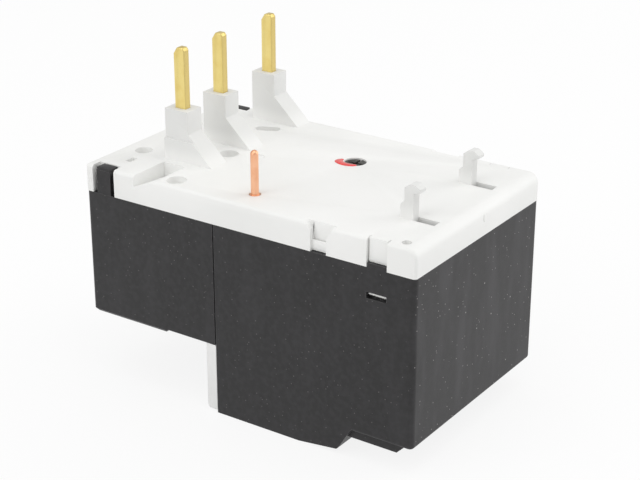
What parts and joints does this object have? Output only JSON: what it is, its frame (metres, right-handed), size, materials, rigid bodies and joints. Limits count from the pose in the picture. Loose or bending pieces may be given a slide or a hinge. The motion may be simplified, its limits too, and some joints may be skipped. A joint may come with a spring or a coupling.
{
  "type": "thermal overload relay",
  "caption": "Plug-on thermal overload relay with blades, coil pin and hooks on its top plate, a setting dial, push buttons and a bimetal trip mechanism inside.",
  "frame": {"origin": "middle of the overall box, on the underside that the relay stands on", "axes": "+Z towards the contactor along the blades, -Y out of the front with the dial and buttons, +X to the right seen from the front"},
  "size_m": [0.045, 0.0764, 0.0672],
  "materials": {
    "light_plastic": "fine matte moulded",
    "black_plastic": "satin moulded",
    "grey_plastic": "fine matte moulded",
    "brass": "satin",
    "copper": "satin",
    "bimetal": "rolled",
    "sleeve": "woven glass, matte",
    "heater_alloy": "oxidised",
    "steel": "zinc plated",
    "spring_steel": "drawn",
    "inner_plastic": "matte moulded",
    "slide_plastic": "matte moulded",
    "red_lacquer": "glossy drop",
    "red_plastic": "smooth",
    "blue_plastic": "smooth",
    "yellow_plastic": "smooth",
    "dial_plastic": "matte moulded"
  },
  "bodies": {
    "case": {"top_plate": "light_plastic", "front_cover": "black_plastic", "rear_housing": "black_plastic", "terminal_panel": "grey_plastic", "blade_1": "brass", "line_bar_1": "copper", "load_bar_1": "copper", "bimetal_1": "bimetal", "insulating_sleeve_1": "sleeve", "heater_1": "heater_alloy", "strip_holder_1": "steel", "blade_2": "brass", "line_bar_2": "copper", "load_bar_2": "copper", "bimetal_2": "bimetal", "insulating_sleeve_2": "sleeve", "heater_2": "heater_alloy", "strip_holder_2": "steel", "blade_3": "brass", "line_bar_3": "copper", "load_bar_3": "copper", "bimetal_3": "bimetal", "insulating_sleeve_3": "sleeve", "heater_3": "heater_alloy", "strip_holder_3": "steel", "coil_link_pin": "copper", "open_contact_in": "brass", "open_contact_out": "brass", "closed_contact_in": "brass", "closed_contact_out": "brass", "link_bar": "brass", "load_clamps": "steel", "load_screws": "steel", "small_screws": "steel", "clamp_saddles": "steel", "calibration_screw": "steel", "setting_pivot_pin": "steel", "pivot_clips": "steel", "reset_spring": "spring_steel", "test_spring": "spring_steel", "snap_spring": "spring_steel", "mechanism_base": "inner_plastic", "sealing_lacquer": "red_lacquer"},
    "dial": {"current_dial": "dial_plastic"},
    "setting": {"setting_lever": "steel"},
    "reset": {"reset_button": "blue_plastic"},
    "test": {"test_button": "red_plastic"},
    "main_comb": {"main_slide": "slide_plastic"},
    "differential_comb": {"differential_slide": "slide_plastic"},
    "differential_arm": {"differential_lever": "steel"},
    "trip": {"trip_lever": "slide_plastic", "compensating_bimetal": "bimetal"},
    "carrier": {"contact_carrier": "slide_plastic", "closed_bridge": "brass", "open_bridge": "brass", "trip_flag": "yellow_plastic"}
  },
  "joints": [
    {"name": "dial_turn", "type": "hinge", "parent": "case", "child": "dial", "pos_m": [0.013, -0.03645, 0.0355], "axis": [0, 1, 0], "range_deg": [0, 240]},
    {"name": "setting_turn", "type": "hinge", "parent": "case", "child": "setting", "pos_m": [0.005, -0.00345, 0.039], "axis": [0, 0, 1], "range_deg": [-5.8, 0]},
    {"name": "reset_push", "type": "slide", "parent": "case", "child": "reset", "axis": [0, 1, 0], "range_m": [0, 0.002], "stiffness_N_per_m": 400, "springref_m": -0.001, "deforming": ["reset_spring"]},
    {"name": "test_push", "type": "slide", "parent": "case", "child": "test", "axis": [0, 1, 0], "range_m": [0, 0.002], "stiffness_N_per_m": 400, "springref_m": -0.001, "deforming": ["test_spring"]},
    {"name": "main_slide_push", "type": "slide", "parent": "case", "child": "main_comb", "axis": [1, 0, 0], "range_m": [0, 0.0016], "stiffness_N_per_m": 60, "deforming": ["bimetal_1", "bimetal_2", "bimetal_3"]},
    {"name": "differential_lag", "type": "slide", "parent": "main_comb", "child": "differential_comb", "axis": [-1, 0, 0], "range_m": [0, 0.001], "stiffness_N_per_m": 60},
    {"name": "differential_tilt", "type": "hinge", "parent": "main_comb", "child": "differential_arm", "pos_m": [-0.0099, 0.01435, 0.0378], "axis": [0, 0, 1], "range_deg": [0, 14.2]},
    {"name": "trip_turn", "type": "hinge", "parent": "case", "child": "trip", "pos_m": [-0.0075, 0.00615, 0.038], "axis": [0, 0, 1], "range_deg": [-11.3, 0]},
    {"name": "carrier_release", "type": "slide", "parent": "case", "child": "carrier", "axis": [0, -1, 0], "range_m": [0, 0.0015], "deforming": ["snap_spring"]}
  ],
  "couplings": [
    {"joint": "setting_turn", "follows": "dial_turn", "ratio": -0.02387},
    {"joint": "differential_tilt", "follows": "differential_lag", "rad_per_m": 245},
    {"joint": "trip_turn", "follows": "main_slide_push", "rad_per_m": -122},
    {"joint": "carrier_release", "follows": "main_slide_push", "ratio": 0.9375}
  ]
}
